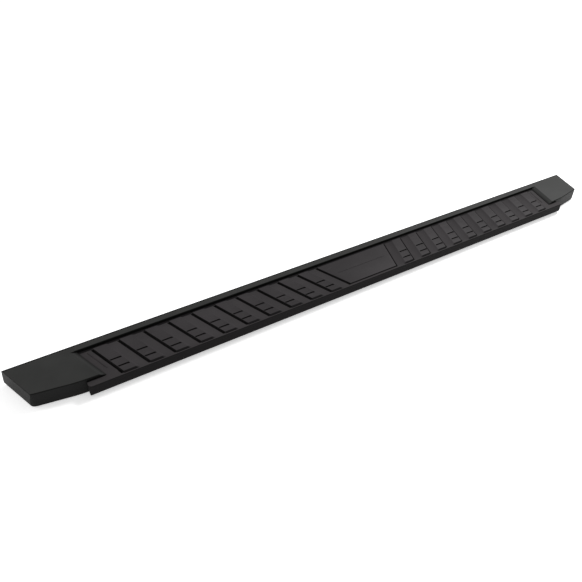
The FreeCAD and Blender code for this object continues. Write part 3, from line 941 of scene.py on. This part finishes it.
def shape_nut(s, at, high):
    """A hexagon nut with a chamfered, slightly sunk top and rings inside its bore."""
    x, y, low = at
    obj = start_round("weld_nut", s.nut_flats / math.sqrt(3), low, high, (x, y), 6)
    bevel(lambda e: near(middle(e).z, high), 0.7 * MM, 2)
    pick("FACE", lambda f: f.normal.z > 0.9)
    bpy.ops.mesh.inset(thickness=0.8 * MM)
    push(z=-0.15 * MM)
    close_up(obj, 25)
    drill(obj, s.nut_bore, [(x, y)], low - MM, high + MM)
    for ring in range(NUT_RINGS):
        z = low + MM + ring * NUT_RING_PITCH
        drill(obj, s.nut_bore + NUT_RING_DEPTH, [(x, y)], z, z + 0.45 * MM)
    activate(obj)
    bpy.ops.object.shade_smooth_by_angle(angle=math.radians(25))
    return obj


class BOARD_OT_weld_nuts(bpy.types.Operator):
    """Model one welded nut and copy it onto every plate"""
    bl_idname = "board.weld_nuts"
    bl_label = "Welded nuts"

    def execute(self, context):
        s = context.scene.board_fixings
        nodes = [plate.replace("nut_plate", "weld_nuts") for plate in PLATES]
        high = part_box(nodes[0])[1].z
        for node, nut in fixings(lambda at: shape_nut(s, at, high), nodes):
            plate = node.replace("weld_nuts", "nut_plate")
            settle(nut, plate, "plate_steel", finish("plate"), node)
        return {"FINISHED"}


# Pieces kept from the frame

def refinish(node, material):
    """Gives a CAD piece this material and no other."""
    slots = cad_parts[node].data.materials
    slots.clear()
    slots.append(material)


class BOARD_OT_beam_and_caps(bpy.types.Operator):
    """Give the extruded beam and the two end caps their finishes"""
    bl_idname = "board.beam_and_caps"
    bl_label = "Beam and caps"

    def execute(self, context):
        refinish("deck_extrusion", finish("coat"))
        for side in ("left", "right"):
            refinish("end_cap_" + side, finish("cap"))
        return {"FINISHED"}


# Stage

def soft_light(name, place, size, power):
    """A large soft light aimed at the middle of the board."""
    deselect()
    bpy.ops.object.light_add(type="AREA", location=place)
    light = bpy.context.object
    light.name = name
    light.data.shape = "RECTANGLE"
    light.data.size, light.data.size_y = size
    light.data.energy = power
    light.rotation_euler = (-Vector(place)).to_track_quat("-Z", "Y").to_euler()


class BOARD_OT_stage(bpy.types.Operator):
    """Set the floor, the soft lights, the surround and the camera"""
    bl_idname = "board.stage"
    bl_label = "Stage"

    def execute(self, context):
        s = context.scene.board_stage
        deselect()
        bpy.ops.mesh.primitive_plane_add(size=FLOOR_SIZE, location=(0, 0, -FLOOR_DROP))
        floor = context.object
        floor.name = "studio_floor"
        floor.data.materials.append(finish("floor"))
        soft_light("overhead_softbox", place=(3.2, 0.8, 3.2), size=(1.6, 1.4), power=s.key)
        soft_light("side_softbox", place=(-2.6, 1.2, 0.9), size=(1.2, 0.8), power=s.fill)
        world = bpy.data.worlds.new("surround")
        context.scene.world = world
        world.use_nodes = True
        background = world.node_tree.nodes["Background"]
        background.inputs["Color"].default_value = (1, 1, 1, 1)
        background.inputs["Strength"].default_value = s.sky
        bpy.ops.object.camera_add(location=s.eye)
        camera = context.object
        camera.name = "camera"
        camera.rotation_euler = Vector(s.aim).to_track_quat("-Z", "Y").to_euler()
        camera.data.sensor_width = 36
        camera.data.lens = s.lens
        context.scene.camera = camera
        context.scene.view_settings.view_transform = "Standard"
        return {"FINISHED"}


OPERATORS = (
    BOARD_OT_pad_sheet,
    BOARD_OT_tread_cells,
    BOARD_OT_centre_panel,
    BOARD_OT_screws,
    BOARD_OT_nut_plates,
    BOARD_OT_weld_nuts,
    BOARD_OT_beam_and_caps,
    BOARD_OT_stage,
)
GROUPS = {
    "board_tread": TreadSizes,
    "board_fixings": FixingSizes,
    "board_colours": FinishColours,
    "board_stage": StageSizes,
}


class BOARD_PT_panel(bpy.types.Panel):
    bl_label = "Running Board"
    bl_idname = "BOARD_PT_panel"
    bl_space_type = "VIEW_3D"
    bl_region_type = "UI"
    bl_category = "Running Board"

    def draw(self, context):
        for operator in OPERATORS:
            self.layout.operator(operator.bl_idname)
        for group in GROUPS:
            box = self.layout.box()
            settings = getattr(context.scene, group)
            for name in settings.bl_rna.properties.keys():
                if name not in ("rna_type", "name"):
                    box.prop(settings, name)


def register():
    for cls in (*GROUPS.values(), *OPERATORS, BOARD_PT_panel):
        bpy.utils.register_class(cls)
    for name, group in GROUPS.items():
        setattr(bpy.types.Scene, name, PointerProperty(type=group))


def unregister():
    for name in GROUPS:
        delattr(bpy.types.Scene, name)
    for cls in reversed((*GROUPS.values(), *OPERATORS, BOARD_PT_panel)):
        bpy.utils.unregister_class(cls)


def main():
    register()
    for operator in OPERATORS:
        name = operator.bl_idname.split(".")[1]
        getattr(bpy.ops.board, name)()


if __name__ == "__main__":
    main()
